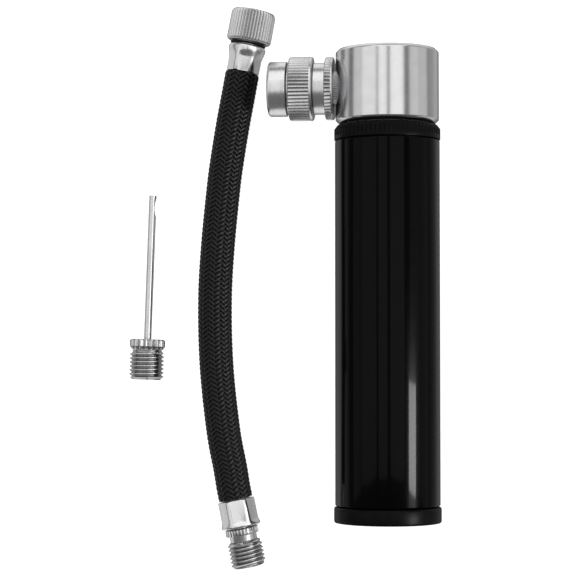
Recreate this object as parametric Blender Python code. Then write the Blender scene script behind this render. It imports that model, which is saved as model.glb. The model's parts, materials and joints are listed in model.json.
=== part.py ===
"""Pocket bicycle pump with its braided hose and its ball needle, laid out on a table.

The pump lies on its side along Y: its head points to +Y and its valve chuck to -X.
It has rolled a little, so the chuck points down towards the table, the plane z = 0.
The origin is on the table, in the middle of the box round the pump and the needle.

Outlines are in millimetres, as (radius, height) pairs along each piece's own axis.
"""

from math import cos, pi, radians, sin

import bmesh
import bpy
from mathutils import Matrix, Vector

MM = 0.001

# ---------------------------------------------------------------- driving sizes, mm
FIT_GAP = 0.3  # clearance between pieces that touch on the real pump
TABLE_GAP = 0.03  # keeps round undersides just off the table

PUMP_LENGTH = 104.2
HEAD_HEIGHT = 16.6
HEAD_RADIUS = 11.4
CAP_HEIGHT = 3.5
CAP_RADIUS = 11.8
COLLAR_HEIGHT = 3.5
COLLAR_RADIUS = 11.7
TUBE_RADIUS = 11.55
TUBE_BORE = 10.65
BARREL_RADIUS = 9.2
BARREL_BORE = 8.4
ROD_RADIUS = 3.5
ROD_BORE = 2.2
STROKE = 62.0

PORT_HEIGHT = 95.7  # chuck axis, above the end cap's face
PORT_RADIUS = 4.2
VALVE_THREAD_RADIUS = 3.9  # tyre valve thread, 7.7 mm across its crests
FLANGE_START = 11.7  # distances along the chuck's axis from the pump's axis
FLANGE_END = 13.6
FLANGE_RADIUS = 6.98
NECK_END = 16.1
NECK_RADIUS = 5.75
RING_START = 16.3
RING_END = 21.6
RING_RADIUS = 7.1
SLEEVE_START = 21.9
SLEEVE_END = 26.3
SLEEVE_RADIUS = 6.1
SLEEVE_ROUND = 0.6
NUT_BORE = 5.7
SOCKET_RADIUS = 4.15

HOSE_RADIUS = 3.85
HOSE_NUT_RADIUS = 5.0
FERRULE_LIP_RADIUS = 4.39
NEEDLE_FLANGE_RADIUS = 4.0
NEEDLE_RADIUS = 0.86
NEEDLE_REACH = 32.2

# ---------------------------------------------------------------- places on the table, mm
PUMP_X = 22.7
PUMP_FOOT_Y = -52.1
PUMP_Z = CAP_RADIUS + TABLE_GAP
PUMP_ROLL = 6.0  # degrees that the chuck points down by, as its rims show in the photograph

UPPER_END = (-9.36, 48.0)  # where the hose enters its upper ferrule
UPPER_LEAN = 10.7  # degrees that each fitting leans from the Y axis
LOWER_END = (-10.79, -47.63)
LOWER_LEAN = 11.4
UPPER_Z = HOSE_NUT_RADIUS + TABLE_GAP
LOWER_Z = FERRULE_LIP_RADIUS + TABLE_GAP
HOSE_Z = HOSE_RADIUS + TABLE_GAP

# The middle of the hose between its two ends: x, y and height.
HOSE_ROUTE = [
    (-10.45, 42.2, 4.80),
    (-11.50, 36.6, 4.45),
    (-12.68, 29.4, 4.08),
    (-13.65, 22.2, HOSE_Z),
    (-15.00, 8.0, HOSE_Z),
    (-15.55, -4.0, HOSE_Z),
    (-15.15, -18.1, HOSE_Z),
    (-13.63, -32.2, 3.95),
    (-12.10, -40.4, 4.20),
]
HOSE_STEP = 9.0  # between the points of the hose's spline

NEEDLE_AT = (-30.6, -11.8)  # middle of the adapter's flange face
NEEDLE_LEAN = 2.0
NEEDLE_Z = NEEDLE_FLANGE_RADIUS + TABLE_GAP


# ---------------------------------------------------------------- materials
# name: colour, metallic, roughness
FINISHES = {
    "turned_aluminium": ((0.62, 0.62, 0.63), 1.0, 0.28),
    "black_anodised": ((0.012, 0.012, 0.013), 0.6, 0.18),
    "black_plastic": ((0.016, 0.016, 0.017), 0.0, 0.42),
    "white_plastic": ((0.75, 0.75, 0.73), 0.0, 0.45),
    "nickel": ((0.70, 0.69, 0.67), 1.0, 0.20),
    "polished_nickel": ((0.80, 0.80, 0.79), 1.0, 0.08),
    "steel": ((0.55, 0.55, 0.56), 1.0, 0.22),
    "black_rubber": ((0.012, 0.012, 0.012), 0.0, 0.65),
    "black_braid": ((0.010, 0.010, 0.011), 0.0, 0.60),
}


def finish(name):
    """The named material, made once."""
    made = bpy.data.materials.get(name)
    if made:
        return made
    colour, metallic, roughness = FINISHES[name]
    made = bpy.data.materials.new(name)
    made.use_nodes = True
    shader = made.node_tree.nodes["Principled BSDF"]
    shader.inputs["Base Color"].default_value = (*colour, 1.0)
    shader.inputs["Metallic"].default_value = metallic
    shader.inputs["Roughness"].default_value = roughness
    return made


# ---------------------------------------------------------------- modelling helpers
def place(obj, parent):
    bpy.context.scene.collection.objects.link(obj)
    obj.parent = parent
    return obj


def axis_empty(name, at, turn=(0.0, 0.0, 0.0), parent=None):
    """An empty whose Z is the axis that its pieces are turned about."""
    empty = place(bpy.data.objects.new(name, None), parent)
    empty.location = [v * MM for v in at]
    empty.rotation_euler = turn
    return empty


def corner(r, z, size, start, steps=3):
    """A rounded corner: quarter of a circle about (r, z), from the angle start, in degrees."""
    turns = [radians(start + 90 * k / steps) for k in range(steps + 1)]
    return [(r + size * cos(t), z + size * sin(t)) for t in turns]


def turned_mesh(name, outline, segments):
    """Spins an outline about Z. It is closed by itself, or by the axis if both ends are on it."""
    mesh = bmesh.new()
    rings = []
    for r, z in outline:
        count = segments if r > 0 else 1
        angles = [2 * pi * k / segments for k in range(count)]
        rings.append([mesh.verts.new((r * cos(a) * MM, r * sin(a) * MM, z * MM)) for a in angles])
    bands = list(zip(rings, rings[1:]))
    if len(rings[0]) > 1 and len(rings[-1]) > 1:
        bands.append((rings[-1], rings[0]))
    for low, high in bands:
        for k in range(segments):
            after = (k + 1) % segments
            if len(low) == 1:
                mesh.faces.new((low[0], high[k], high[after]))
            elif len(high) == 1:
                mesh.faces.new((low[k], high[0], low[after]))
            else:
                mesh.faces.new((low[k], high[k], high[after], low[after]))
    bmesh.ops.recalc_face_normals(mesh, faces=mesh.faces)
    data = bpy.data.meshes.new(name)
    mesh.to_mesh(data)
    mesh.free()
    return data


def turned(name, outline, parent, material, segments=32):
    """A turned piece on its parent's axis."""
    data = turned_mesh(name, outline, segments)
    data.shade_smooth()
    data.set_sharp_from_angle(angle=radians(35))
    data.materials.append(finish(material))
    return place(bpy.data.objects.new(name, data), parent)


def ring(name, inner, outer, low, high, parent, material, segments=32):
    """A plain ring with small chamfers on its outer edges."""
    edge = min(0.2, (outer - inner) / 4, (high - low) / 4)
    outline = [
        (inner, low),
        (outer - edge, low),
        (outer, low + edge),
        (outer, high - edge),
        (outer - edge, high),
        (inner, high),
    ]
    return turned(name, outline, parent, material, segments)


def cutter(name, outline, parent, segments=32):
    tool = place(bpy.data.objects.new(name, turned_mesh(name, outline, segments)), parent)
    tool.hide_render = True
    tool.display_type = "WIRE"
    return tool


def cut(piece, tool):
    bore = piece.modifiers.new(tool.name, "BOOLEAN")
    bore.operation = "DIFFERENCE"
    bore.object = tool


# ---------------------------------------------------------------- the pump's fixed side
def make_head(pump, chuck):
    """Solid head with a spigot for the barrel, an air way and the port that the chuck screws into."""
    top = PUMP_LENGTH
    foot = PUMP_LENGTH - HEAD_HEIGHT
    chamfer = 0.8
    spigot = BARREL_BORE - FIT_GAP
    spigot_foot = foot - 5.8
    groove = spigot - 0.9
    outline = [
        (0, spigot_foot),
        (spigot - 0.4, spigot_foot),
        (spigot, spigot_foot + 0.4),
        (spigot, foot - 4.4),
        (groove, foot - 4.4),
        (groove, foot - 2.6),
        (spigot, foot - 2.6),
        (spigot, foot),
        (HEAD_RADIUS - chamfer, foot),
        (HEAD_RADIUS, foot + chamfer),
        (HEAD_RADIUS, top - chamfer),
        (HEAD_RADIUS - chamfer, top),
        (0, top),
    ]
    head = turned("head", outline, pump, "turned_aluminium", 56)
    air_way = [(0, spigot_foot - 1), (1.5, spigot_foot - 1), (1.5, PORT_HEIGHT), (0, PORT_HEIGHT)]
    cut(head, cutter("air_way_cutter", air_way, pump, 16))
    port = [
        (0, -0.9),
        (1.2, -0.9),
        (1.2, 2.0),
        (2.6, 3.0),
        (2.6, 5.0),
        (PORT_RADIUS, 5.0),
        (PORT_RADIUS, 14.0),
        (0, 14.0),
    ]
    cut(head, cutter("port_cutter", port, chuck, 24))
    ring("head_seal", groove + FIT_GAP, spigot, foot - 4.1, foot - 2.9, pump, "black_rubber", 28)


def make_barrel(pump):
    """The inner barrel, fixed to the head, with the ring that stops the handle coming off it."""
    top = PUMP_LENGTH - HEAD_HEIGHT - FIT_GAP
    foot = 8.2
    ring("inner_barrel", BARREL_BORE, BARREL_RADIUS, foot, top, pump, "turned_aluminium", 40)
    bore = BARREL_RADIUS + FIT_GAP
    rim = TUBE_BORE - FIT_GAP
    ring("barrel_stop_ring", bore, rim, foot, foot + 3.0, pump, "white_plastic", 40)
    ring("bumper_ring", bore, bore + 0.9, top - 0.9, top, pump, "black_rubber", 40)


def make_connector(chuck):
    """The threaded connector that carries the chuck's nut, its pin and its seals."""
    stud_end = 5.9
    air_way = 1.2
    bore = 1.6
    bore_foot = 12.5
    edge = 0.25
    journal = NUT_BORE - 0.5
    journal_end = 19.6
    outline = [
        (air_way, stud_end),
        (VALVE_THREAD_RADIUS - 0.4, stud_end),
        (VALVE_THREAD_RADIUS, stud_end + 0.4),
        (VALVE_THREAD_RADIUS, FLANGE_START),
        (FLANGE_RADIUS - edge, FLANGE_START),
        (FLANGE_RADIUS, FLANGE_START + edge),
        (FLANGE_RADIUS, FLANGE_END - edge),
        (FLANGE_RADIUS - edge, FLANGE_END),
        (NECK_RADIUS, FLANGE_END),
        (NECK_RADIUS, NECK_END),
        (journal, NECK_END),
        (journal, 17.5),
        (journal - 0.9, 17.5),
        (journal - 0.9, 18.8),
        (journal, 18.8),
        (journal, journal_end),
        (bore, journal_end),
        (bore, bore_foot),
        (air_way, bore_foot),
    ]
    turned("connector_body", outline, chuck, "nickel", 36)
    pin = [(0, 13.0), (0.9, 13.0), (1.3, 13.3), (1.3, 14.7), (0.9, 15.0), (0.9, 21.6), (0.5, 22.0)]
    turned("core_pin", [*pin, (0, 22.0)], chuck, "steel", 12)
    seal = journal - 0.9 + FIT_GAP
    ring("nut_seal", seal, journal, 17.8, 18.5, chuck, "black_rubber", 24)
    ring("port_seal", 2.0, PORT_RADIUS - FIT_GAP, 5.1, 5.7, chuck, "black_rubber", 20)
    ball = 1.5
    middle = 3.4
    half = corner(0, middle, ball, -90, 4)[1:]
    other_half = corner(0, middle, ball, 0, 4)[1:-1]
    outline = [(0, middle - ball), *half, *other_half, (0, middle + ball)]
    turned("check_ball", outline, chuck, "black_rubber", 16)


# ---------------------------------------------------------------- the handle and what it drives
def make_handle_shell(pump):
    """The black outer tube with its collar and end cap, which the hand pulls and pushes."""
    collar_foot = PUMP_LENGTH - HEAD_HEIGHT - COLLAR_HEIGHT
    collar_top = PUMP_LENGTH - HEAD_HEIGHT - FIT_GAP
    tube_foot = CAP_HEIGHT + FIT_GAP
    spigot = TUBE_BORE - FIT_GAP
    bore = BARREL_RADIUS + FIT_GAP
    recess = bore + 1.2
    ring("outer_tube", TUBE_BORE, TUBE_RADIUS, tube_foot, collar_foot - FIT_GAP, pump, "black_anodised", 56)
    collar = [
        (COLLAR_RADIUS, collar_foot),
        (COLLAR_RADIUS, collar_top - 0.9),
        (COLLAR_RADIUS - 0.7, collar_top),
        (recess, collar_top),
        (recess, collar_top - 1.2),
        (bore, collar_top - 1.2),
        (bore, collar_foot - 6.6),
        (spigot, collar_foot - 6.6),
        (spigot, collar_foot),
    ]
    turned("collar", collar, pump, "black_plastic", 56)
    bush_top = collar_foot - 6.9
    ring("guide_bush", bore, spigot, bush_top - 3.3, bush_top, pump, "white_plastic", 40)

    edge = 0.6
    rod_hole = ROD_RADIUS + FIT_GAP
    rod_hole_foot = 2.2
    boss = 5.4
    cap = [
        (0, 0),
        *corner(CAP_RADIUS - edge, edge, edge, -90),
        (CAP_RADIUS, CAP_HEIGHT),
        (spigot, CAP_HEIGHT),
        (spigot, 7.6),
        (spigot - 1.0, 7.6),
        (spigot - 1.0, CAP_HEIGHT),
        (boss, CAP_HEIGHT),
        (boss, 7.6),
        (rod_hole, 7.6),
        (rod_hole, rod_hole_foot),
        (0, rod_hole_foot),
    ]
    turned("end_cap", cap, pump, "black_plastic", 56)


def make_piston(pump):
    """The hollow rod from the end cap, the piston on it, its seal and its screw."""
    foot = 76.5
    rod_top = foot - FIT_GAP
    face = BARREL_BORE - FIT_GAP
    groove = 6.6
    head = 3.6
    ring("piston_rod", ROD_BORE, ROD_RADIUS, 2.5, rod_top, pump, "turned_aluminium", 20)
    piston = [
        (2.0, foot),
        (face, foot),
        (face, foot + 1.2),
        (groove, foot + 1.2),
        (groove, foot + 3.5),
        (face, foot + 3.5),
        (face, foot + 4.7),
        (head, foot + 4.7),
        (head, foot + 2.5),
        (2.0, foot + 2.5),
    ]
    turned("piston", piston, pump, "white_plastic", 32)
    ring("piston_seal", groove + FIT_GAP, face, foot + 1.5, foot + 3.2, pump, "black_rubber", 28)
    screw_head = head - FIT_GAP
    seat = foot + 2.5 + FIT_GAP
    screw = [
        (0, foot - 8.0),
        (1.3, foot - 8.0),
        (1.7, foot - 7.6),
        (1.7, seat),
        (screw_head, seat),
        (screw_head, seat + 1.2),
        (screw_head - 0.4, seat + 1.6),
        (1.3, seat + 1.6),
        (1.3, seat + 0.7),
        (0, seat + 0.7),
    ]
    turned("piston_screw", screw, pump, "steel", 20)


# ---------------------------------------------------------------- the chuck's nut
def make_chuck_nut(chuck):
    """The knurled ring and smooth nose that spin on the connector, with the valve gasket inside."""
    ring("chuck_ring", NUT_BORE, RING_RADIUS, RING_START, RING_END, chuck, "nickel", 40)
    spigot = NUT_BORE - FIT_GAP
    pocket = 4.6
    nose = [
        (pocket, 19.9),
        (spigot, 19.9),
        (spigot, SLEEVE_START),
        (SLEEVE_RADIUS - 0.2, SLEEVE_START),
        (SLEEVE_RADIUS, SLEEVE_START + 0.2),
        *corner(SLEEVE_RADIUS - SLEEVE_ROUND, SLEEVE_END - SLEEVE_ROUND, SLEEVE_ROUND, 0),
        (SOCKET_RADIUS + 0.4, SLEEVE_END),
        (SOCKET_RADIUS, SLEEVE_END - 0.4),
        (SOCKET_RADIUS, 22.2),
        (pocket, 22.2),
    ]
    turned("chuck_sleeve", nose, chuck, "nickel", 40)
    ring("chuck_gasket", 1.9, pocket - FIT_GAP, 20.1, 21.8, chuck, "black_rubber", 24)


# ---------------------------------------------------------------- the hose
def make_upper_fitting(upper):
    """The ferrule, swivel stem and knurled nut on the end of the hose that goes to the valve."""
    ferrule = [
        (2.5, 0),
        (3.6, 0),
        (3.67, 0.2),
        (3.72, 3.2),
        (4.0, 4.3),
        (4.14, 5.0),
        *corner(3.64, 5.5, 0.5, 0),
        (2.5, 6.0),
    ]
    turned("ferrule_upper", ferrule, upper, "polished_nickel", 32)
    stem = [
        (1.2, 0.3),
        (1.9, 0.3),
        (2.2, 0.9),
        (2.2, 6.3),
        (2.9, 6.3),
        (2.9, 8.0),
        (3.8, 8.0),
        (3.8, 8.7),
        (1.2, 8.7),
    ]
    turned("hose_stem", stem, upper, "nickel", 24)
    ring("hose_seal", 3.2, 3.65, 6.25, 6.6, upper, "black_rubber", 28)
    pin = [(0, 5.0), (0.5, 5.0), (0.9, 5.3), (0.9, 7.0), (0.5, 7.3), (0.5, 9.6), (0, 9.6)]
    turned("hose_pin", pin, upper, "steel", 12)
    ring("hose_gasket", 1.6, 3.8, 9.0, 9.7, upper, "black_rubber", 24)
    cavity = 4.2
    nut = [
        (3.25, 6.85),
        (HOSE_NUT_RADIUS - 0.35, 6.85),
        (HOSE_NUT_RADIUS, 7.2),
        (HOSE_NUT_RADIUS, 13.5),
        (HOSE_NUT_RADIUS - 0.4, 13.9),
        (cavity + 0.2, 13.9),
        (cavity, 13.7),
        (cavity, 7.7),
        (3.25, 7.7),
    ]
    turned("hose_nut", nut, upper, "nickel", 40)


def make_lower_fitting(lower):
    """The ferrule and threaded fitting on the end of the hose that goes to the pump's head."""
    lip = FERRULE_LIP_RADIUS
    ferrule = [
        (2.5, 0),
        (3.95, 0),
        (4.1, 0.2),
        (4.1, 4.9),
        (lip, 5.5),
        (lip - 0.1, 6.0),
        (2.5, 6.0),
    ]
    turned("ferrule_lower", ferrule, lower, "polished_nickel", 32)
    flange = 3.75
    neck = 3.0
    fitting = [
        (1.2, 0.3),
        (1.9, 0.3),
        (2.2, 0.9),
        (2.2, 6.3),
        (flange - 0.2, 6.3),
        (flange, 6.5),
        (flange, 7.6),
        (flange - 0.2, 7.8),
        (neck, 7.8),
        (neck, 9.15),
        (VALVE_THREAD_RADIUS - 0.4, 9.15),
        (VALVE_THREAD_RADIUS, 9.5),
        (VALVE_THREAD_RADIUS, 14.5),
        (VALVE_THREAD_RADIUS - 0.5, 15.05),
        (1.2, 15.05),
    ]
    turned("hose_fitting", fitting, lower, "steel", 32)


def smooth_route(points, step):
    """Evenly spaced points along a Catmull-Rom curve through the given points."""
    fine = []
    padded = [points[0] * 2 - points[1], *points, points[-1] * 2 - points[-2]]
    for a, b, c, d in zip(padded, padded[1:], padded[2:], padded[3:]):
        for k in range(12):
            t = k / 12
            bend = (a * 2 - b * 5 + c * 4 - d) * t**2
            fine.append((b * 2 + (c - a) * t + bend + (b * 3 - a - c * 3 + d) * t**3) / 2)
    fine.append(points[-1])
    lengths = [0.0]
    for a, b in zip(fine, fine[1:]):
        lengths.append(lengths[-1] + (b - a).length)
    count = max(2, round(lengths[-1] / step))
    even = []
    at = 0
    for k in range(count + 1):
        want = lengths[-1] * k / count
        while at < len(fine) - 2 and lengths[at + 1] < want:
            at += 1
        share = (want - lengths[at]) / (lengths[at + 1] - lengths[at])
        even.append(fine[at].lerp(fine[at + 1], share))
    return even


def make_hose(upper, lower):
    """The braided hose itself, from one ferrule to the other."""
    start = upper @ Vector((0, 0, -FIT_GAP * MM)) / MM
    end = lower @ Vector((0, 0, -FIT_GAP * MM)) / MM
    lead = upper @ Vector((0, 0, -3.0 * MM)) / MM
    trail = lower @ Vector((0, 0, -3.0 * MM)) / MM
    route = [start, lead, *[Vector(p) for p in HOSE_ROUTE], trail, end]
    data = bpy.data.curves.new("hose", "CURVE")
    data.dimensions = "3D"
    data.bevel_depth = HOSE_RADIUS * MM
    data.bevel_resolution = 4
    data.use_fill_caps = True
    points = smooth_route(route, HOSE_STEP)
    spline = data.splines.new("POLY")
    spline.points.add(len(points) - 1)
    for point, at in zip(spline.points, points):
        point.co = (*(at * MM), 1.0)
    data.materials.append(finish("black_braid"))
    place(bpy.data.objects.new("hose", data), None)


# ---------------------------------------------------------------- the ball needle
def make_needle(needle):
    """The threaded adapter and the thin steel tube that goes into a ball."""
    hole = NEEDLE_RADIUS + FIT_GAP
    adapter = [
        (hole, 0),
        (3.7, 0),
        (NEEDLE_FLANGE_RADIUS, -0.3),
        (NEEDLE_FLANGE_RADIUS, -1.65),
        (3.3, -2.4),
        (3.3, -2.6),
        (VALVE_THREAD_RADIUS - 0.05, -2.95),
        (VALVE_THREAD_RADIUS - 0.05, -8.6),
        (3.4, -9.05),
        (1.9, -9.05),
        (1.9, -4.2),
        (hole, -4.2),
    ]
    turned("needle_adapter", adapter, needle, "steel", 32)
    tip = NEEDLE_REACH
    bore = 0.5
    tube = [
        (0, tip - 0.8),
        (bore, tip - 1.0),
        (bore, -3.9),
        (NEEDLE_RADIUS, -3.9),
        (NEEDLE_RADIUS, tip - 0.1),
        (NEEDLE_RADIUS - 0.1, tip),
        (0, tip),
    ]
    needle_tube = turned("needle_tube", tube, needle, "steel", 16)
    scoop_radius = 5.0
    scoop = cutter(
        "slot_cutter",
        [(0, -2), (scoop_radius, -2), (scoop_radius, 2), (0, 2)],
        needle,
        48,
    )
    scoop.location = ((NEEDLE_RADIUS + scoop_radius - 0.5) * MM, 0, (tip - 2.7) * MM)
    scoop.rotation_euler = (pi / 2, 0, 0)
    cut(needle_tube, scoop)


def main():
    for old in list(bpy.data.objects):
        bpy.data.objects.remove(old)
    roll = radians(PUMP_ROLL)
    pump = axis_empty("pump_axis", (PUMP_X, PUMP_FOOT_Y, PUMP_Z), (-pi / 2, -roll, 0))
    chuck = axis_empty("chuck_axis", (0, 0, PORT_HEIGHT), (0, -pi / 2, 0), pump)
    upper = axis_empty("hose_upper_axis", (*UPPER_END, UPPER_Z), (-pi / 2, 0, -radians(UPPER_LEAN)))
    lower = axis_empty("hose_lower_axis", (*LOWER_END, LOWER_Z), (pi / 2, 0, radians(LOWER_LEAN)))
    needle = axis_empty("needle_axis", (*NEEDLE_AT, NEEDLE_Z), (-pi / 2, 0, -radians(NEEDLE_LEAN)))
    make_head(pump, chuck)
    make_barrel(pump)
    make_connector(chuck)
    make_handle_shell(pump)
    make_piston(pump)
    make_chuck_nut(chuck)
    make_upper_fitting(upper)
    make_lower_fitting(lower)
    make_hose(
        Matrix.LocRotScale(upper.location, upper.rotation_euler, None),
        Matrix.LocRotScale(lower.location, lower.rotation_euler, None),
    )
    make_needle(needle)


main()
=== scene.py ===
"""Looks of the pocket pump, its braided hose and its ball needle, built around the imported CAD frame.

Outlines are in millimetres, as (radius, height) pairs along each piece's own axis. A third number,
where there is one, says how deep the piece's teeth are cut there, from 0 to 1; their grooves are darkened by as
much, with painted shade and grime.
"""

import json
from math import ceil, cos, pi, radians, sin

import bmesh
import bpy
import numpy as np
from mathutils import Matrix, Vector


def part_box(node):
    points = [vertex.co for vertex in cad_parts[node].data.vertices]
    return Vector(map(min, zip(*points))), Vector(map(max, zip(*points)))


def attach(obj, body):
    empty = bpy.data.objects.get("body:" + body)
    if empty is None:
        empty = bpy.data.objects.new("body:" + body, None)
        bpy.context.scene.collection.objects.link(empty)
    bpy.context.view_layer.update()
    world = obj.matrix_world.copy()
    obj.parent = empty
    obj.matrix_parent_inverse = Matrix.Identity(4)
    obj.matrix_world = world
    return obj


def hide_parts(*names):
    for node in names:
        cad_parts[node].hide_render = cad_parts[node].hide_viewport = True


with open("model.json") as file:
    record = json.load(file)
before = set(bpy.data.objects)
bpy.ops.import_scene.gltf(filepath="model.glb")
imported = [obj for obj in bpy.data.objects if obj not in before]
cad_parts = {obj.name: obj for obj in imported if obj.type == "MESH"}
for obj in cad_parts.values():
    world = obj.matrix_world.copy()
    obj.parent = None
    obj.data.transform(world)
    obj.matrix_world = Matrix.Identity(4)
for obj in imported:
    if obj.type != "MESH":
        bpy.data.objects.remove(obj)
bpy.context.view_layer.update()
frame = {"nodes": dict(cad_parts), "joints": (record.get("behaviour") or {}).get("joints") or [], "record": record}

MM = 0.001
GRAIN_FINENESS = 6000.0  # of moulded pieces, in noise cells a metre
joints = {joint["name"]: joint for joint in frame["joints"]}


# ---------------------------------------------------------------- camera
def make_camera():
    """Almost straight down on the flat lay, from the height that the photograph was taken at."""
    height = 0.463
    tilt = radians(2.07)
    middle = Vector((0.0008, -0.0002, 0))
    data = bpy.data.cameras.new("camera")
    data.sensor_width = 36
    data.lens = 128.2
    data.clip_start = 0.01
    camera = bpy.data.objects.new("camera", data)
    camera.location = middle + Vector((0, -height * sin(tilt) / cos(tilt), height))
    camera.rotation_euler = (tilt, 0, 0)
    bpy.context.scene.collection.objects.link(camera)
    bpy.context.scene.camera = camera


make_camera()


# ---------------------------------------------------------------- axes of the object's parts
CHUCK_JOINT_AT = 21.0  # from the pump's axis to the hinge's point, along the chuck
NUT_JOINT_AT = 10.4  # from the hose's upper end to the hinge's point
LOWER_END = (-10.79, -47.63, 4.42)  # of the hose, where it enters its lower ferrule
LOWER_LEAN = 11.4
NEEDLE_AT = (-30.6, -11.8, 4.03)  # the middle of the adapter's flange face
NEEDLE_LEAN = 2.0


def axes_at(origin, along, across):
    """A frame with its Z along the axis of a turned piece."""
    z = Vector(along).normalized()
    y = z.cross(Vector(across)).normalized()
    x = y.cross(z)
    turn = Matrix((x, y, z)).transposed().to_4x4()
    return Matrix.Translation(Vector(origin)) @ turn


def axes_on_joint(name, distance, across):
    """The same, on a hinge's axis: its zero lies the given distance behind the hinge's point."""
    along = Vector(joints[name]["axis"]).normalized()
    return axes_at(Vector(joints[name]["pos_m"]) - along * distance * MM, along, across)


def leaning_axes(place, lean, way):
    """Axes of a fitting that lies on the table, leaning from the Y axis by an angle in degrees."""
    along = (way * sin(radians(lean)), way * cos(radians(lean)), 0)
    return axes_at([value * MM for value in place], along, (0, 0, 1))


tube_low, tube_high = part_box("outer_tube")
pump_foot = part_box("end_cap")[0].y
pump_middle = (tube_low + tube_high) / 2
PUMP = axes_at((pump_middle.x, pump_foot, pump_middle.z), (0, 1, 0), (-1, 0, 0))
CHUCK = axes_on_joint("chuck_nut_turn", CHUCK_JOINT_AT, (0, 1, 0))
UPPER = axes_on_joint("valve_nut_turn", NUT_JOINT_AT, (0, 0, 1))
LOWER = leaning_axes(LOWER_END, -LOWER_LEAN, -1)
NEEDLE = leaning_axes(NEEDLE_AT, NEEDLE_LEAN, 1)


# ---------------------------------------------------------------- node materials
def new_material(name):
    made = bpy.data.materials.new(name)
    made.use_nodes = True
    return made, made.node_tree.nodes, made.node_tree.links


def stretched_noise(nodes, links, stretch, scale, detail=3.0):
    """Noise in the piece's own coordinates, stretched by the given amounts."""
    place = nodes.new("ShaderNodeTexCoord")
    mapping = nodes.new("ShaderNodeMapping")
    mapping.inputs["Scale"].default_value = stretch
    noise = nodes.new("ShaderNodeTexNoise")
    noise.inputs["Scale"].default_value = scale
    noise.inputs["Detail"].default_value = detail
    links.new(place.outputs["Object"], mapping.inputs["Vector"])
    links.new(mapping.outputs["Vector"], noise.inputs["Vector"])
    return noise.outputs["Fac"]


def ranged(nodes, links, source, low, high):
    """The source, carried from 0.3..0.7 to low..high."""
    spread = nodes.new("ShaderNodeMapRange")
    spread.inputs["From Min"].default_value = 0.3
    spread.inputs["From Max"].default_value = 0.7
    spread.inputs["To Min"].default_value = low
    spread.inputs["To Max"].default_value = high
    links.new(source, spread.inputs["Value"])
    return spread.outputs["Result"]


def mixed_colour(nodes, links, source, dark, light):
    ramp = nodes.new("ShaderNodeValToRGB")
    ramp.color_ramp.elements[0].position = 0.3
    ramp.color_ramp.elements[0].color = (*dark, 1)
    ramp.color_ramp.elements[1].position = 0.7
    ramp.color_ramp.elements[1].color = (*light, 1)
    links.new(source, ramp.inputs["Fac"])
    return ramp.outputs["Color"]


def bumped(nodes, links, source, shader, depth_mm, strength=1.0):
    bump = nodes.new("ShaderNodeBump")
    bump.inputs["Strength"].default_value = strength
    bump.inputs["Distance"].default_value = depth_mm * MM
    links.new(source, bump.inputs["Height"])
    links.new(bump.outputs["Normal"], shader.inputs["Normal"])


def grime_and_painted_shade(nodes, links, colour, grime_and_shade=0.5):
    """Darkens the colour in the grooves of knurls and threads, where the mesh holds "groove": painted shade of the
    hollows, and grime.
    """
    groove = nodes.new("ShaderNodeAttribute")
    groove.attribute_name = "groove"
    amount = nodes.new("ShaderNodeMath")
    amount.operation = "MULTIPLY"
    amount.inputs[1].default_value = grime_and_shade
    links.new(groove.outputs["Fac"], amount.inputs[0])
    mixed = nodes.new("ShaderNodeMixRGB")
    mixed.inputs["Color2"].default_value = (0.05, 0.05, 0.05, 1)
    links.new(amount.outputs["Value"], mixed.inputs["Fac"])
    links.new(colour, mixed.inputs["Color1"])
    return mixed.outputs["Color"]


def turned_metal(name, dark, light, smooth, rough, groove_mm):
    """Metal off a lathe: fine rings round the piece's axis, which spread its highlights along it."""
    made, nodes, links = new_material(name)
    shader = nodes["Principled BSDF"]
    shader.inputs["Metallic"].default_value = 1.0
    rings = stretched_noise(nodes, links, (60, 60, 5000), 1.0, 5.0)
    cloud = stretched_noise(nodes, links, (1, 1, 1), 400.0)
    # The grooves are darkened: painted shade, and grime.
    colour = grime_and_painted_shade(nodes, links, mixed_colour(nodes, links, cloud, dark, light))
    links.new(colour, shader.inputs["Base Color"])
    links.new(ranged(nodes, links, rings, smooth, rough), shader.inputs["Roughness"])
    bumped(nodes, links, rings, shader, groove_mm)
    return made


def dented_metal(name, dark, light, smooth, rough, dent_mm):
    """Plated metal that tools have marked: soft dents and a few dull patches."""
    made, nodes, links = new_material(name)
    shader = nodes["Principled BSDF"]
    shader.inputs["Metallic"].default_value = 1.0
    dents = stretched_noise(nodes, links, (1, 1, 0.6), 900.0, 2.0)
    patches = stretched_noise(nodes, links, (1, 1, 0.3), 1500.0)
    links.new(mixed_colour(nodes, links, patches, dark, light), shader.inputs["Base Color"])
    links.new(ranged(nodes, links, patches, smooth, rough), shader.inputs["Roughness"])
    bumped(nodes, links, dents, shader, dent_mm)
    return made


def moulded(name, dark, light, smooth, rough, grain_mm, shine, gloss=0.0):
    """Plastic, rubber or anodising with a fine grain, and with a thin clear gloss where asked."""
    made, nodes, links = new_material(name)
    shader = nodes["Principled BSDF"]
    shader.inputs["Specular IOR Level"].default_value = shine
    shader.inputs["Coat Weight"].default_value = gloss
    shader.inputs["Coat IOR"].default_value = 1.13
    shader.inputs["Coat Roughness"].default_value = 0.05
    grain = stretched_noise(nodes, links, (1, 1, 1), GRAIN_FINENESS)
    cloud = stretched_noise(nodes, links, (1, 1, 1), 500.0)
    links.new(mixed_colour(nodes, links, cloud, dark, light), shader.inputs["Base Color"])
    links.new(ranged(nodes, links, cloud, smooth, rough), shader.inputs["Roughness"])
    bumped(nodes, links, grain, shader, grain_mm)
    return made


def grey(value):
    return (value, value, value * 1.01)


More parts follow.
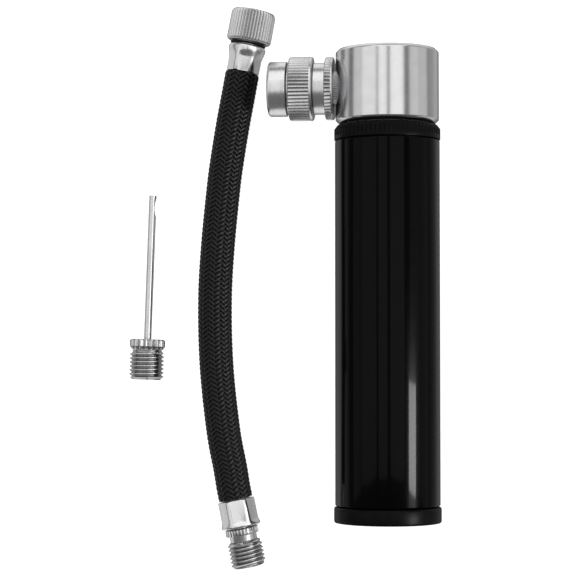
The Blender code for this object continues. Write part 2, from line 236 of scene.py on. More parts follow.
MATERIALS = {
    "turned_aluminium": turned_metal("turned_aluminium", grey(0.64), grey(0.68), 0.17, 0.22, 0.0002),
    "black_anodised": moulded("black_anodised", grey(0.0003), grey(0.0005), 0.20, 0.22, 0, 0.03, gloss=1),
    "black_plastic": moulded("black_plastic", grey(0.002), grey(0.003), 0.30, 0.38, 0.003, 0.06),
    "white_plastic": moulded("white_plastic", grey(0.62), grey(0.70), 0.35, 0.50, 0.003, 0.5),
    "nickel": turned_metal("nickel", grey(0.64), grey(0.72), 0.24, 0.32, 0.0005),
    "polished_nickel": dented_metal("polished_nickel", grey(0.64), grey(0.72), 0.18, 0.28, 0.008),
    "steel": turned_metal("steel", grey(0.60), grey(0.70), 0.20, 0.28, 0.0005),
    "black_rubber": moulded("black_rubber", grey(0.004), grey(0.007), 0.50, 0.65, 0.006, 0.2),
    "black_braid": moulded("black_braid", grey(0.002), grey(0.004), 0.60, 0.70, 0.004, 0.1),
}


def yarn_material():
    """Black yarn: threads run along each strand, and its sheen fades towards the strand's edges."""
    made, nodes, links = new_material("braid_yarn")
    shader = nodes["Principled BSDF"]
    place = nodes.new("ShaderNodeUVMap")
    mapping = nodes.new("ShaderNodeMapping")
    mapping.inputs["Scale"].default_value = (7, 300, 1)
    noise = nodes.new("ShaderNodeTexNoise")
    noise.inputs["Scale"].default_value = 1.0
    links.new(place.outputs["UV"], mapping.inputs["Vector"])
    links.new(mapping.outputs["Vector"], noise.inputs["Vector"])
    threads = noise.outputs["Fac"]
    links.new(mixed_colour(nodes, links, threads, grey(0.003), grey(0.010)), shader.inputs["Base Color"])
    links.new(ranged(nodes, links, threads, 0.34, 0.46), shader.inputs["Roughness"])
    bumped(nodes, links, threads, shader, 0.02)
    across = nodes.new("ShaderNodeSeparateXYZ")
    links.new(place.outputs["UV"], across.inputs["Vector"])
    sheen = nodes.new("ShaderNodeFloatCurve")
    points = sheen.mapping.curves[0].points
    points[0].location = (0.0, 0.01)
    points[1].location = (1.0, 0.01)
    points.new(0.5, 0.30)
    sheen.mapping.update()
    links.new(across.outputs["X"], sheen.inputs["Value"])
    links.new(sheen.outputs["Value"], shader.inputs["Specular IOR Level"])
    return made


YARN = yarn_material()


# ---------------------------------------------------------------- turned pieces
def filleted(outline, size, closed):
    """The outline with its corners rounded. A point is (radius, height) or (radius, height, cut)."""
    points = [(*p, 0.0)[:3] for p in outline]
    steps = 3
    made = []
    for k, here in enumerate(points):
        at_end = not closed and k in (0, len(points) - 1)
        before = Vector(points[k - 1][:2])
        after = Vector(points[(k + 1) % len(points)][:2])
        corner = Vector(here[:2])
        into, out = corner - before, after - corner
        if at_end or into.length < 1e-6 or out.length < 1e-6 or into.angle(out) < radians(20):
            made.append(here)
            continue
        reach = min(size, into.length * 0.45, out.length * 0.45)
        first = corner - into.normalized() * reach
        last = corner + out.normalized() * reach
        for step in range(steps + 1):
            t = step / steps
            point = first * (1 - t) ** 2 + corner * 2 * t * (1 - t) + last * t**2
            made.append((max(point.x, 0), point.y, here[2]))
    return made


PLAIN = [(0.0, 0.0)]
KNURL = [(0.0, 0.0), (0.34, 0.0), (0.56, 1.0), (0.78, 1.0)]
FLUTE = [(0.0, 0.0), (0.40, 0.0), (0.52, 0.75), (0.70, 1.0), (0.88, 0.75)]
LOBE = [(k / 8, (1 - cos(2 * pi * k / 8)) / 2) for k in range(8)]


def spun_mesh(name, outline, count, tooth, depth):
    """Spins an outline about Z. Each of the count teeth repeats the tooth's (place, cut) pairs."""
    mesh = bmesh.new()
    groove = mesh.verts.layers.float.new("groove")
    angles = [(2 * pi * (k + place) / count, cut) for k in range(count) for place, cut in tooth]
    rings = []
    for r, z, cut_here in outline:
        spokes = angles if r > 0 else angles[:1]
        made = []
        for angle, cut in spokes:
            radius = (r - depth * cut * cut_here) * MM
            vertex = mesh.verts.new((radius * cos(angle), radius * sin(angle), z * MM))
            vertex[groove] = cut * cut_here
            made.append(vertex)
        rings.append(made)
    bands = list(zip(rings, rings[1:]))
    if len(rings[0]) > 1 and len(rings[-1]) > 1:
        bands.append((rings[-1], rings[0]))
    for low, high in bands:
        for k in range(len(angles)):
            after = (k + 1) % len(angles)
            if len(low) == 1:
                mesh.faces.new((low[0], high[k], high[after]))
            elif len(high) == 1:
                mesh.faces.new((low[k], high[0], low[after]))
            else:
                mesh.faces.new((low[k], high[k], high[after], low[after]))
    return finished_mesh(name, mesh)


def finished_mesh(name, mesh, sharp=40):
    bmesh.ops.recalc_face_normals(mesh, faces=mesh.faces)
    data = bpy.data.meshes.new(name)
    mesh.to_mesh(data)
    mesh.free()
    data.shade_smooth()
    data.set_sharp_from_angle(angle=radians(sharp))
    return data


def add_piece(name, data, axes, body, material, node):
    """Places a mesh on its axes, rides it on its body and hides the CAD node that it stands for."""
    piece = bpy.data.objects.new(name, data)
    bpy.context.scene.collection.objects.link(piece)
    piece.matrix_world = axes
    data.materials.append(MATERIALS[material])
    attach(piece, body)
    if node:
        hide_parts(node)
    return piece


def spun(name, outline, axes, body, material, node, teeth=128, tooth=PLAIN, depth=0.0, edge=0.12):
    """A turned piece with soft edges, and with teeth where the outline's points say so."""
    closed = outline[0][0] > 0 or outline[-1][0] > 0
    smooth = filleted(outline, edge, closed)
    return add_piece(name, spun_mesh(name, smooth, teeth, tooth, depth), axes, body, material, node)


# ---------------------------------------------------------------- pump
PUMP_LENGTH = 104.2
HEAD_RADIUS = 11.4
HEAD_FOOT = 87.6
BARREL_RADIUS = 9.2
BARREL_BORE = 8.4
TUBE_RADIUS = 11.55
TUBE_BORE = 10.65
COLLAR_RADIUS = 11.7
CAP_RADIUS = 11.8
CAP_HEIGHT = 3.5
PLUG_RADIUS = 10.35  # of the cap and the collar inside the tube


def make_pump():
    spigot = 8.1
    head = [
        (0, 82.2),
        (spigot, 82.2),
        (spigot, HEAD_FOOT),
        (HEAD_RADIUS - 0.9, HEAD_FOOT),
        (HEAD_RADIUS, HEAD_FOOT + 0.85),
        (HEAD_RADIUS, PUMP_LENGTH - 0.75),
        (HEAD_RADIUS - 0.8, PUMP_LENGTH),
        (0, PUMP_LENGTH),
    ]
    spun("head_shell", head, PUMP, "pump", "turned_aluminium", "head", teeth=160, edge=0.18)
    barrel = [(BARREL_BORE, 8.2), (BARREL_RADIUS, 8.2), (BARREL_RADIUS, 87.3), (BARREL_BORE, 87.3)]
    spun("barrel_skin", barrel, PUMP, "pump", "turned_aluminium", "inner_barrel", teeth=96)
    tube = [(TUBE_BORE, 3.8), (TUBE_RADIUS, 3.8), (TUBE_RADIUS, 83.8), (TUBE_BORE, 83.8)]
    spun("tube_skin", tube, PUMP, "handle", "black_anodised", "outer_tube", teeth=160, edge=0.2)
    collar_top = 87.3
    rim = 84.1
    collar = [
        (9.5, 77.5),
        (PLUG_RADIUS, 77.5),
        (PLUG_RADIUS, rim),
        (COLLAR_RADIUS, rim),
        (COLLAR_RADIUS, rim + 0.8),
        (COLLAR_RADIUS, rim + 1.0, 1),
        (COLLAR_RADIUS, collar_top - 0.9, 1),
        (COLLAR_RADIUS - 0.7, collar_top, 0.2),
        (COLLAR_RADIUS - 1.0, collar_top),
        (COLLAR_RADIUS - 1.0, collar_top - 1.2),
        (9.5, collar_top - 1.2),
    ]
    teeth = {"teeth": 72, "tooth": FLUTE, "depth": 0.22, "edge": 0.1}
    spun("collar_fluted", collar, PUMP, "handle", "black_plastic", "collar", **teeth)
    plug_top = 7.6
    cap = [
        (0, 0),
        (CAP_RADIUS, 0),
        (CAP_RADIUS, CAP_HEIGHT),
        (PLUG_RADIUS, CAP_HEIGHT),
        (PLUG_RADIUS, plug_top),
        (PLUG_RADIUS - 1.0, plug_top),
        (PLUG_RADIUS - 1.0, CAP_HEIGHT),
        (5.4, CAP_HEIGHT),
        (5.4, plug_top),
        (3.8, plug_top),
        (3.8, 2.2),
        (0, 2.2),
    ]
    spun("cap_shell", cap, PUMP, "handle", "black_plastic", "end_cap", teeth=160, edge=0.5)


# ---------------------------------------------------------------- chuck
STUD_RADIUS = 3.9
FLANGE_RADIUS = 6.98
FLANGE_START = 11.7  # distances along the chuck's axis from the pump's axis
FLANGE_END = 13.6
NECK_RADIUS = 5.75
NECK_END = 16.1
JOURNAL_RADIUS = 5.2
RING_RADIUS = 7.1
RING_START = 16.3
RING_END = 21.6
NUT_BORE = 5.7
NOSE_RADIUS = 6.1
NOSE_START = 22.1
NOSE_END = 26.3
MOUTH_RADIUS = 4.15


def make_chuck():
    airway = 1.2
    pin_bore = 1.6
    connector = [
        (airway, 5.9),
        (STUD_RADIUS - 0.4, 5.9),
        # The stud gets teeth too: their darkened grooves paint the shade in the gap between the flange and the
        # head.
        (STUD_RADIUS, 6.3, 1),
        (STUD_RADIUS, FLANGE_START - 0.05, 1),
        (STUD_RADIUS, FLANGE_START),
        (FLANGE_RADIUS - 0.23, FLANGE_START),
        (FLANGE_RADIUS - 0.03, FLANGE_START + 0.2),
        (FLANGE_RADIUS, FLANGE_START + 0.4),
        (FLANGE_RADIUS, FLANGE_START + 0.45, 1),
        (FLANGE_RADIUS, FLANGE_END - 0.2, 1),
        (FLANGE_RADIUS - 0.18, FLANGE_END, 1),
        (NECK_RADIUS, FLANGE_END),
        (NECK_RADIUS, NECK_END),
        (JOURNAL_RADIUS, NECK_END),
        (JOURNAL_RADIUS, 17.5),
        (JOURNAL_RADIUS - 0.9, 17.5),
        (JOURNAL_RADIUS - 0.9, 18.8),
        (JOURNAL_RADIUS, 18.8),
        (JOURNAL_RADIUS, 19.6),
        (pin_bore, 19.6),
        (pin_bore, 12.5),
        (airway, 12.5),
    ]
    teeth = {"teeth": 50, "tooth": LOBE, "depth": 0.30, "edge": 0.08}
    spun("chuck_connector", connector, CHUCK, "pump", "nickel", "connector_body", **teeth)
    ring = [
        (NUT_BORE, RING_START),
        (RING_RADIUS - 0.25, RING_START),
        (RING_RADIUS - 0.05, RING_START + 0.2),
        (RING_RADIUS, RING_START + 0.55),
        (RING_RADIUS, RING_START + 0.65, 1),
        (RING_RADIUS, RING_END - 0.25, 1),
        (RING_RADIUS - 0.2, RING_END, 1),
        (NUT_BORE, RING_END),
    ]
    teeth = {"teeth": 54, "tooth": LOBE, "depth": 0.28, "edge": 0.08}
    spun("chuck_ring_knurled", ring, CHUCK, "chuck_nut", "nickel", "chuck_ring", **teeth)
    seat = 19.9
    nose = [
        (4.6, seat),
        (NUT_BORE - 0.3, seat),
        (NUT_BORE - 0.3, NOSE_START),
        (NOSE_RADIUS, NOSE_START),
        (NOSE_RADIUS, NOSE_END - 0.4),
        (NOSE_RADIUS - 0.4, NOSE_END),
        (MOUTH_RADIUS + 0.35, NOSE_END),
        (MOUTH_RADIUS, NOSE_END - 0.4),
        (MOUTH_RADIUS, 22.4),
        (4.6, 22.4),
    ]
    spun("chuck_nose", nose, CHUCK, "chuck_nut", "nickel", "chuck_sleeve", edge=0.3)


# ---------------------------------------------------------------- hose
HOSE_RADIUS = 3.85
FIT_GAP = 0.3  # between the hose and its ferrules
LEAD = 3.0  # of straight hose before each ferrule
HOSE_Z = 3.88  # of its middle where it lies on the table
# The middle of the hose between its two ends: x, y and height.
HOSE_ROUTE = [
    (-10.45, 42.2, 4.80),
    (-11.50, 36.6, 4.45),
    (-12.68, 29.4, 4.08),
    (-13.65, 22.2, HOSE_Z),
    (-15.00, 8.0, HOSE_Z),
    (-15.55, -4.0, HOSE_Z),
    (-15.15, -18.1, HOSE_Z),
    (-13.63, -32.2, 3.95),
    (-12.10, -40.4, 4.20),
]


def smooth_route(points, step):
    """Evenly spaced points along a Catmull-Rom curve through the given points."""
    fine = []
    padded = [points[0] * 2 - points[1], *points, points[-1] * 2 - points[-2]]
    for a, b, c, d in zip(padded, padded[1:], padded[2:], padded[3:]):
        for k in range(12):
            t = k / 12
            bend = (a * 2 - b * 5 + c * 4 - d) * t**2 + (b * 3 - a - c * 3 + d) * t**3
            fine.append((b * 2 + (c - a) * t + bend) / 2)
    fine.append(points[-1])
    fine = np.array(fine)
    lengths = np.concatenate(([0], np.cumsum(np.linalg.norm(np.diff(fine, axis=0), axis=1))))
    count = ceil(lengths[-1] / step)
    even = np.linspace(0, lengths[-1], count + 1)
    return np.column_stack([np.interp(even, lengths, fine[:, k]) for k in range(3)])


def hose_line(step):
    """The hose's centreline in metres, from the upper ferrule to the lower one."""
    ends = [axes @ Vector((0, 0, -gap * MM)) / MM for axes in (UPPER, LOWER) for gap in (FIT_GAP, LEAD)]
    start, lead, end, trail = ends
    route = [start, lead, *[Vector(p) for p in HOSE_ROUTE], trail, end]
    return smooth_route(route, step) * MM


BRAID_DEPTH = 0.55  # from the outside of the braid to the rubber hose


def make_core():
    """The rubber hose that shows between the strands of the braid."""
    data = bpy.data.curves.new("hose_core", "CURVE")
    data.dimensions = "3D"
    data.bevel_depth = (HOSE_RADIUS - BRAID_DEPTH) * MM
    data.bevel_resolution = 8
    data.use_fill_caps = True
    points = hose_line(2.5)
    spline = data.splines.new("POLY")
    spline.points.add(len(points) - 1)
    for point, at in zip(spline.points, points):
        point.co = (*at, 1.0)
    data.materials.append(MATERIALS["black_braid"])
    core = bpy.data.objects.new("hose_core", data)
    bpy.context.scene.collection.objects.link(core)
    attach(core, "hose_assembly")
    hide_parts("hose")
    return core


def frames_along(line):
    """Two directions across the line at each of its points: one is level, the other points up."""
    along = np.gradient(line, axis=0)
    along /= np.linalg.norm(along, axis=1)[:, None]
    up = np.tile((0.0, 0.0, 1.0), (len(line), 1))
    side = np.cross(along, up)
    side /= np.linalg.norm(side, axis=1)[:, None]
    return side, np.cross(side, along)


STRANDS = 16  # yarns each way round
TURN = 16.4  # length in which a yarn goes once round
COLUMN = radians(14.5)  # from the top of the hose to the middle of a column of yarns


def braid_mesh(name, way):
    """All the yarns that wind one way. They rise over the others in every second column."""
    line = hose_line(0.17)
    side, up = frames_along(line)
    steps = np.linalg.norm(np.diff(line, axis=0), axis=1)
    travel = np.concatenate(([0], np.cumsum(steps))) / MM
    swell = 0.19  # by which a yarn rises over the others, and dips under them
    crown = 0.22  # of the rounded back of a yarn
    middle = HOSE_RADIUS - swell - crown
    half_width = 0.36
    thread_length = 100  # of yarn to one unit of its threads' pattern
    thread_shift = 0.37  # of the pattern from one strand to the next
    slant = np.arctan2(2 * pi * HOSE_RADIUS, TURN)
    places = np.array([-1.0, -0.85, -0.5, 0.0, 0.5, 0.85, 1.0])
    heights = crown * np.sqrt(1 - 0.98 * places**2)
    vertices, faces, uvs = [], [], []
    for strand in range(STRANDS):
        base = len(vertices) * len(line) * len(places)
        angle = 2 * pi * strand / STRANDS + way * 2 * pi * travel / TURN
        blocks = []
        for place, height in zip(places, heights):
            shift = place * half_width / np.cos(slant) / HOSE_RADIUS
            turn = angle + shift
            lift = way * swell * np.cos(STRANDS / 2 * (turn - pi / 2 + COLUMN))
            radius = (middle + lift + height) * MM
            spoke = side * np.cos(turn)[:, None] + up * np.sin(turn)[:, None]
            blocks.append(line + spoke * radius[:, None])
        vertices.append(np.stack(blocks, axis=1).reshape(-1, 3))
        rows = np.arange(len(line) - 1)[:, None] * len(places)
        columns = np.arange(len(places) - 1)[None, :]
        corner = base + rows + columns
        after = corner + len(places)
        faces.append(np.stack([corner, corner + 1, after + 1, after], -1).reshape(-1, 4))
        across = np.tile((places + 1) / 2, len(line))
        run = travel / thread_length + strand * thread_shift
        uvs.append(np.column_stack([across, np.repeat(run, len(places))]))
    vertices = np.concatenate(vertices)
    faces = np.concatenate(faces)
    uvs = np.concatenate(uvs)
    data = bpy.data.meshes.new(name)
    data.from_pydata(vertices.tolist(), [], faces.tolist())
    layer = data.uv_layers.new(name="strand")
    loops = np.zeros(len(data.loops), int)
    data.loops.foreach_get("vertex_index", loops)
    layer.data.foreach_set("uv", uvs[loops].astype(np.float32).ravel())
    data.shade_smooth()
    return data


def make_braid(name, way):
    data = braid_mesh(name, way)
    data.materials.append(YARN)
    braid = bpy.data.objects.new(name, data)
    bpy.context.scene.collection.objects.link(braid)
    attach(braid, "hose_assembly")
    return braid


CRIMP_FLATS = 6  # that the crimping tool left round each ferrule
CRIMP_SOFTNESS = 0.7  # below 1, so that the flats don't cut as deep as a true hexagon's


def crimped_mesh(name, rows, sides):
    """A crimped ferrule: each row is (radius, height, crimp), and crimp 1 presses it into flats."""
    mesh = bmesh.new()
    per_side = 12
    count = sides * per_side
    rings = []
    for r, z, crimp in rows:
        made = []
        for k in range(count):
            angle = 2 * pi * (k - per_side / 2) / count
            off = (k % per_side) / per_side * 2 * pi / sides - pi / sides
            flat = r * cos(pi / sides) ** CRIMP_SOFTNESS / cos(off)
            radius = min(r, r + (flat - r) * crimp) * MM
            made.append(mesh.verts.new((radius * cos(angle), radius * sin(angle), z * MM)))
        rings.append(made)
    for low, high in [*zip(rings, rings[1:]), (rings[-1], rings[0])]:
        for k in range(count):
            after = (k + 1) % count
            mesh.faces.new((low[k], high[k], high[after], low[after]))
    return finished_mesh(name, mesh, 50)


def add_ferrule(node, rows, axes):
    name = node + "_crimped"
    data = crimped_mesh(name, rows, CRIMP_FLATS)
    add_piece(name, data, axes, "hose_assembly", "polished_nickel", node)


def make_ferrules():
    length = 6.0
    bore = 2.5
    upper = [
        (bore, 0, 0),
        (3.55, 0, 0.6),
        (3.66, 0.12, 1),
        (3.70, 3.0, 1),
        (3.80, 3.6, 0.9),
        (3.98, 4.3, 0.15),
        (4.12, 5.0, 0),
        (4.14, 5.5, 0),
        (4.02, 5.85, 0),
        (3.75, length, 0),
        (bore, length, 0),
    ]
    add_ferrule("ferrule_upper", upper, UPPER)
    lower = [
        (bore, 0, 0),
        (3.95, 0, 0.8),
        (4.1, 0.15, 1),
        (4.1, 4.3, 1),
        (4.2, 5.1, 0.4),
        (4.38, 5.5, 0),
        (4.38, 5.8, 0),
        (4.2, length, 0),
        (bore, length, 0),
    ]
    add_ferrule("ferrule_lower", lower, LOWER)


HOSE_NUT_RADIUS = 5.0
HOSE_NUT_START = 6.85
HOSE_NUT_END = 13.9
HOSE_NUT_BORE = 4.2


def make_hose_nut():
    stem_hole = 3.25
    floor = 7.7
    nut = [
        (stem_hole, HOSE_NUT_START),
        (HOSE_NUT_RADIUS - 0.45, HOSE_NUT_START),
        (HOSE_NUT_RADIUS - 0.15, HOSE_NUT_START + 0.2, 0.7),
        (HOSE_NUT_RADIUS, HOSE_NUT_START + 0.45, 1),
        (HOSE_NUT_RADIUS, HOSE_NUT_END - 0.7, 1),
        (HOSE_NUT_RADIUS - 0.25, HOSE_NUT_END - 0.25, 0.8),
        (HOSE_NUT_RADIUS - 0.5, HOSE_NUT_END),
        (HOSE_NUT_BORE + 0.2, HOSE_NUT_END),
        (HOSE_NUT_BORE, HOSE_NUT_END - 0.2),
        (HOSE_NUT_BORE, floor),
        (stem_hole, floor),
    ]
    teeth = {"teeth": 42, "tooth": LOBE, "depth": 0.30, "edge": 0.08}
    spun("hose_nut_knurled", nut, UPPER, "valve_nut", "nickel", "hose_nut", **teeth)
    seal = [(3.2, 6.2), (3.95, 6.2), (3.95, 6.62), (3.2, 6.62)]
    spun("hose_seal_ring", seal, UPPER, "hose_assembly", "black_rubber", "hose_seal", teeth=64, edge=0.2)


# ---------------------------------------------------------------- threads
PITCH = 0.88  # of the tyre valve thread, as the photograph shows it
THREAD_SPOKES = 64
THREAD_WAVE = [(0.0, 0.0), (0.42, 1.0), (0.54, 1.0), (0.94, 0.0)]  # place in the pitch, height


def thread_rings(mesh, below, above, start, end, crest, root):
    """Columns of vertices through the thread, one for each spoke round the axis."""
    groove = mesh.verts.layers.float["groove"]
    turns = ceil((end - start) / PITCH) + 2
    run_out = 0.6 * PITCH
    rings = []
    for spoke in range(THREAD_SPOKES):
        angle = 2 * pi * spoke / THREAD_SPOKES
        column = [(r, z, 0.0) for r, z in below]
        for turn in range(-1, turns):
            for place, height in THREAD_WAVE:
                z = start + PITCH * (turn + place + spoke / THREAD_SPOKES)
                ease = min(1.0, max(0.0, min(z - start, end - z) / run_out))
                z = min(max(z, start), end)
                rise = (crest - root) * height * ease
                # The third number darkens the thread towards its root: painted shade, and grime.
                column.append((root + rise, z, 1 - rise / (crest - root)))
        column += [(r, z, 0.0) for r, z in above]
        made = []
        for r, z, depth in column:
            vertex = mesh.verts.new((r * cos(angle) * MM, r * sin(angle) * MM, z * MM))
            vertex[groove] = depth
            made.append(vertex)
        rings.append(made)
    return rings


def close_thread(mesh, last, first, low, high):
    """Joins the last spoke to the first one, whose thread starts a full pitch further on."""
    skip = len(THREAD_WAVE)
    shifted = [*first[:low], *first[low + skip : high], *[first[high]] * skip, *first[high:]]
    for j in range(len(last)):
        after = (j + 1) % len(last)
        corners = []
        for vertex in (last[j], shifted[j], shifted[after], last[after]):
            if vertex not in corners:
                corners.append(vertex)
        if len(corners) > 2:
            mesh.faces.new(corners)


def threaded_mesh(name, below, above, start, end, crest, root):
    """A screw thread between two turned outlines. The outlines run from the bore out, and back."""
    mesh = bmesh.new()
    mesh.verts.layers.float.new("groove")
    rings = thread_rings(mesh, below, above, start, end, crest, root)
    for ring, other in zip(rings, rings[1:]):
        for j in range(len(ring)):
            after = (j + 1) % len(ring)
            mesh.faces.new((ring[j], other[j], other[after], ring[after]))
    close_thread(mesh, rings[-1], rings[0], len(below), len(rings[0]) - len(above))
    bmesh.ops.remove_doubles(mesh, verts=mesh.verts, dist=1e-6)
    bmesh.ops.dissolve_degenerate(mesh, edges=mesh.edges, dist=1e-7)
    return finished_mesh(name, mesh, 50)


def make_hose_fitting():
    airway = 1.2
    barb = 2.2
    flange = 3.75
    neck = 3.0
    shank = [
        (airway, 0.3),
        (barb - 0.3, 0.3),
        (barb, 0.9),
        (barb, 6.3),
        (flange - 0.2, 6.3),
        (flange, 6.5, 1),
        (flange, 7.6, 1),
        (flange - 0.15, 7.8, 0.5),
        (neck, 7.8),
        (neck, 9.2),
        (airway, 9.2),
    ]
    teeth = {"teeth": 30, "tooth": KNURL, "depth": 0.30, "edge": 0.08}
    spun("hose_fitting_shank", shank, LOWER, "hose_assembly", "steel", None, **teeth)
    below = [(airway, 9.25), (neck, 9.25)]
    above = [(neck + 0.1, 15.05), (airway, 15.05)]
    data = threaded_mesh("hose_fitting_thread", below, above, 9.3, 14.9, 3.88, 3.36)
    add_piece("hose_fitting_thread", data, LOWER, "hose_assembly", "steel", "hose_fitting")


# ---------------------------------------------------------------- ball needle
NEEDLE_REACH = 32.2  # of the tube, from the flange's face
NEEDLE_RADIUS = 0.86
NEEDLE_BORE = 0.5


def make_needle():
    socket = 1.16
    rim = 4.0
    root = 3.25
    flange_foot = -2.6
    adapter_end = -9.05
    flange = [
        (socket, 0),
        (rim - 0.5, 0),
        (rim, -0.3, 1),
        (rim, -1.65, 1),
        (rim - 0.4, -2.2, 0.5),
        (root, -2.45),
        (root, flange_foot),
        (socket, flange_foot),
    ]
    teeth = {"teeth": 18, "tooth": LOBE, "depth": 0.42, "edge": 0.12}
    spun("needle_flange", flange, NEEDLE, "ball_needle", "steel", None, **teeth)
    below = [(1.9, adapter_end), (3.1, adapter_end)]
    above = [(3.1, flange_foot), (1.9, flange_foot)]
    data = threaded_mesh("needle_thread", below, above, -8.95, -2.65, 3.86, root)
    add_piece("needle_thread", data, NEEDLE, "ball_needle", "steel", "needle_adapter")
    slot_radius = 5.2
    slot_floor = 0.42  # from the needle's axis to the bottom of the slot
    slot_at = NEEDLE_REACH - 2.7
    tube = [
        (0, NEEDLE_REACH - 0.8),
        (NEEDLE_BORE, NEEDLE_REACH - 1.0),
        (NEEDLE_BORE, -3.9),
        (NEEDLE_RADIUS, -3.9),
        (NEEDLE_RADIUS, NEEDLE_REACH - 0.1),
        (NEEDLE_RADIUS - 0.1, NEEDLE_REACH),
        (0, NEEDLE_REACH),
    ]
    name = "needle_tube_slotted"
    needle = spun(name, tube, NEEDLE, "ball_needle", "steel", "needle_tube", teeth=48, edge=0.05)
    disc = filleted([(0, -2), (slot_radius, -2), (slot_radius, 2), (0, 2)], 0.01, False)
    scoop = bpy.data.objects.new("needle_scoop", spun_mesh("needle_scoop", disc, 96, PLAIN, 0))
    bpy.context.scene.collection.objects.link(scoop)
    out = Matrix.Translation(Vector((0, (slot_radius + slot_floor) * MM, slot_at * MM)))
    scoop.matrix_world = NEEDLE @ out @ Matrix.Rotation(pi / 2, 4, "Y")
    cut = needle.modifiers.new("slot", "BOOLEAN")
    cut.object = scoop
    cut.solver = "EXACT"
    bpy.context.view_layer.update()
    evaluated = needle.evaluated_get(bpy.context.evaluated_depsgraph_get())
    needle.data = bpy.data.meshes.new_from_object(evaluated)
    needle.modifiers.clear()
    bpy.data.objects.remove(scoop)


# ---------------------------------------------------------------- CAD nodes that stay
def finish_cad_nodes():
    """Gives every CAD node its material: those inside show when the pump is pulled open."""
    for entry in frame["record"]["subparts"]:
        node = frame["nodes"][entry["node"]]
        node.data.materials.clear()
        node.data.materials.append(MATERIALS[entry["material_slot"]])


# ---------------------------------------------------------------- light
def make_floor():
    made, nodes, links = new_material("table")
    shader = nodes["Principled BSDF"]
    shader.inputs["Base Color"].default_value = (0.9, 0.9, 0.9, 1)
    shader.inputs["Roughness"].default_value = 0.9
    shader.inputs["Specular IOR Level"].default_value = 0.0
    shader.inputs["Emission Color"].default_value = (1, 1, 1, 1)
    shader.inputs["Emission Strength"].default_value = 0.85
    mesh = bmesh.new()
    bmesh.ops.create_grid(mesh, x_segments=1, y_segments=1, size=3.0)
    data = bpy.data.meshes.new("table")
    mesh.to_mesh(data)
    mesh.free()
    data.materials.append(made)
    floor = bpy.data.objects.new("table", data)
    floor.visible_glossy = False
    floor.visible_shadow = False
    bpy.context.scene.collection.objects.link(floor)


def add_softbox(name, low, high, radiance, near, far, distance=0.8):
    """A soft light that fills the angles from low to high, in degrees from overhead towards +X."""
    middle = radians((low + high) / 2)
    width = 2 * distance * np.tan(radians(high - low) / 2)
    data = bpy.data.lights.new(name, "AREA")
    data.shape = "RECTANGLE"
    data.size = width
    data.size_y = far - near
    data.energy = radiance * pi * width * (far - near)
    lamp = bpy.data.objects.new(name, data)
    lamp.location = (
        pump_middle.x + distance * sin(middle),
        (near + far) / 2,
        pump_middle.z + distance * cos(middle),
    )
    lamp.rotation_euler = (0, middle, 0)
    bpy.context.scene.collection.objects.link(lamp)
    return lamp


def light_only(lamp, names):
    """Keeps the lamp for the named pieces."""
    lit = bpy.data.collections.new(lamp.name + "_lit")
    for name in names:
        lit.objects.link(bpy.data.objects[name])
    lamp.light_linking.receiver_collection = lit


def ramp_of(nodes, links, source, stops):
    """The source, taken from -1..1 through the given (place, value) stops."""
    spread = nodes.new("ShaderNodeMapRange")
    spread.inputs["From Min"].default_value = -1.0
    links.new(source, spread.inputs["Value"])
    ramp = nodes.new("ShaderNodeValToRGB")
    elements = ramp.color_ramp.elements
    while len(elements) < len(stops):
        elements.new(0.5)
    for element, (place, value) in zip(elements, stops):
        element.position = (place + 1) / 2
        element.color = (value, value, value, 1)
    links.new(spread.outputs["Result"], ramp.inputs["Fac"])
    return ramp.outputs["Color"]


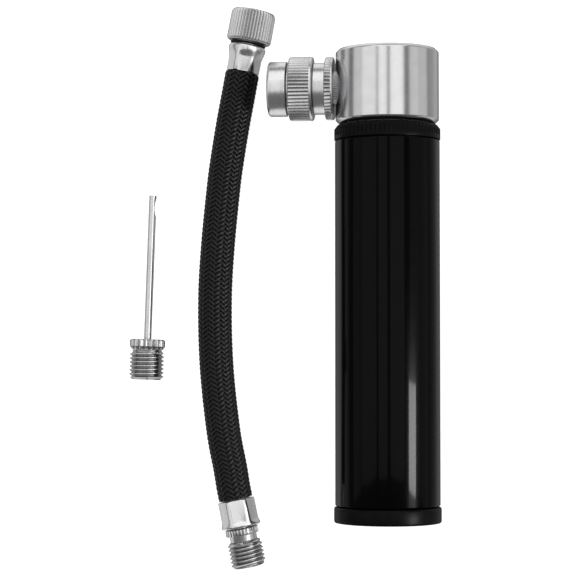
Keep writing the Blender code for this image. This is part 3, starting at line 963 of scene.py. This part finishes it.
def make_world():
    """Dim above the horizon and straight below. The table round about only shows in the metal."""
    world = bpy.data.worlds.new("studio")
    world.use_nodes = True
    nodes, links = world.node_tree.nodes, world.node_tree.links
    place = nodes.new("ShaderNodeTexCoord")
    parts = nodes.new("ShaderNodeSeparateXYZ")
    links.new(place.outputs["Generated"], parts.inputs["Vector"])
    table = ramp_of(nodes, links, parts.outputs["X"], [(-1.0, 0.7), (0.0, 1.1), (1.0, 0.3)])
    band = [(-1.0, 0.0), (-0.92, 0.0), (-0.7, 1.0), (-0.2, 1.0), (-0.08, 0.0), (1.0, 0.0)]
    shown = ramp_of(nodes, links, parts.outputs["Z"], band)
    mixed = nodes.new("ShaderNodeMixRGB")
    mixed.inputs["Color1"].default_value = (0.17, 0.17, 0.17, 1)
    links.new(shown, mixed.inputs["Fac"])
    links.new(table, mixed.inputs["Color2"])
    links.new(mixed.outputs["Color"], nodes["Background"].inputs["Color"])
    bpy.context.scene.world = world


SOFTBOXES = [  # name, lowest and highest angle, radiance
    ("left_low", -83, -62, 0.60),
    ("left_high", -61, -26.5, 0.88),
    ("over_left", -22.5, -3, 1.02),
    ("over_right", 3, 34, 1.05),
    ("right_high", 47, 72, 0.60),
    ("right_low", 73, 96, 0.50),
]
# The sheen of the black pieces needs a stronger lamp, which would burn out the bright metal.
BLACK_PIECES = ["tube_skin", "cap_shell", "collar_fluted", "hose_core", "braid_right", "braid_left"]
STEEL_PIECES = [
    "needle_flange",
    "needle_thread",
    "needle_tube_slotted",
    "hose_fitting_thread",
    "hose_fitting_shank",
    "ferrule_upper_crimped",
    "ferrule_lower_crimped",
]


def make_lights():
    near, far = -0.22, 0.54
    for name, low, high, radiance in SOFTBOXES:
        add_softbox(name, low, high, radiance, near, far)
    key = add_softbox("key", 44, 61, 42.0, -0.41, -0.13, distance=1.6)
    light_only(key, BLACK_PIECES)
    glint = add_softbox("glint", 30, 58, 2.0, near, far)
    light_only(glint, STEEL_PIECES)
    back = add_softbox("back", -40, 40, 1.15, -0.45, 0.45)
    back.location = (pump_middle.x, 0.90, 0.62)
    back.rotation_euler = (radians(-56), 0, 0)
    make_world()
    bpy.context.scene.view_settings.view_transform = "Standard"


def make_hose():
    core = make_core()
    braid = [make_braid("braid_right", 1), make_braid("braid_left", -1)]
    make_ferrules()
    make_hose_nut()
    make_hose_fitting()
    pieces = ["ferrule_upper_crimped", "ferrule_lower_crimped", "hose_nut_knurled", "hose_seal_ring"]
    pieces += ["hose_fitting_shank", "hose_fitting_thread"]


make_hose()
make_pump()
make_chuck()
make_needle()
finish_cad_nodes()
make_floor()
make_lights()
